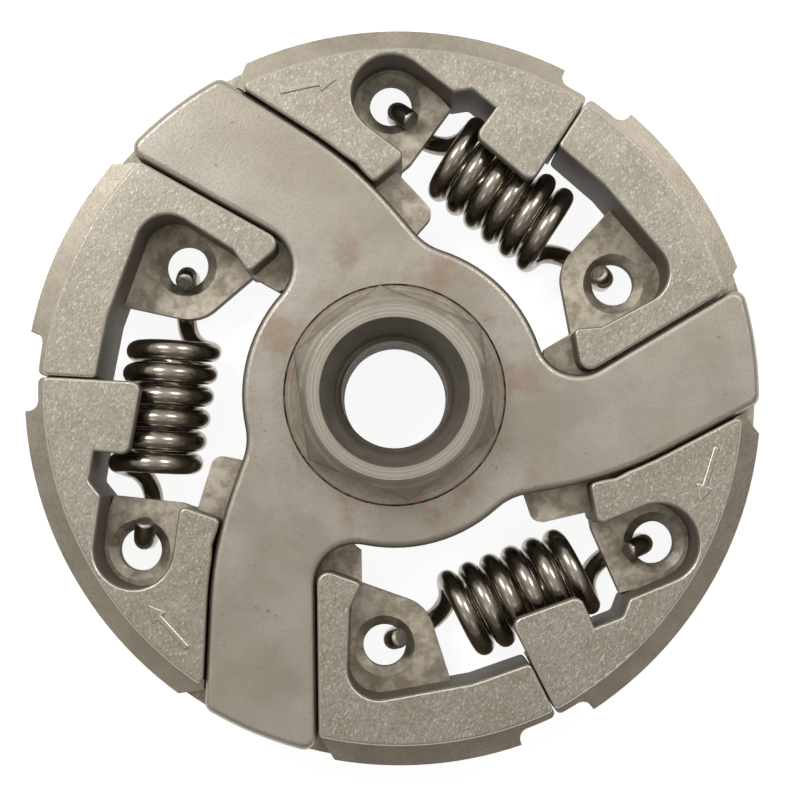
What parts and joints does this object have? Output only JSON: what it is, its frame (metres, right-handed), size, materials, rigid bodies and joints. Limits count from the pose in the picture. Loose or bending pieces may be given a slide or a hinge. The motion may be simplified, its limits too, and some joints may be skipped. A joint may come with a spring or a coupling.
{
  "type": "centrifugal clutch",
  "caption": "Round centrifugal clutch: swept-arm steel spider on a hexagon hub, sliding sintered shoes held in by hooked coil springs, for a small engine.",
  "frame": {"origin": "on the axis of the threaded bore, at the hub's back face", "axes": "+Z along the axis out of the hexagon front; +X near arm 1, which points 17 degrees anticlockwise of it"},
  "size_m": [0.0757, 0.0759, 0.02],
  "materials": {
    "hub_steel": "satin",
    "plate_steel": "satin",
    "sintered_iron": "matte",
    "spring_steel": "satin"
  },
  "bodies": {
    "spider": {"hub": "hub_steel", "front_plate": "plate_steel", "rear_plate": "plate_steel", "spring_1": "spring_steel", "spring_2": "spring_steel", "spring_3": "spring_steel"},
    "shoe_1": {"shoe_1": "sintered_iron"},
    "shoe_2": {"shoe_2": "sintered_iron"},
    "shoe_3": {"shoe_3": "sintered_iron"}
  },
  "joints": [
    {"name": "shoe_1_slide", "type": "slide", "parent": "spider", "child": "shoe_1", "axis": [0.9563, 0.2924, 0], "range_m": [0, 0.0009], "stiffness_N_per_m": 3000, "springref_m": -0.002, "deforming": ["spring_1", "spring_3"]},
    {"name": "shoe_2_slide", "type": "slide", "parent": "spider", "child": "shoe_2", "axis": [-0.7314, 0.682, 0], "range_m": [0, 0.0009], "stiffness_N_per_m": 3000, "springref_m": -0.002, "deforming": ["spring_2", "spring_1"]},
    {"name": "shoe_3_slide", "type": "slide", "parent": "spider", "child": "shoe_3", "axis": [-0.225, -0.9744, 0], "range_m": [0, 0.0009], "stiffness_N_per_m": 3000, "springref_m": -0.002, "deforming": ["spring_3", "spring_2"]}
  ]
}
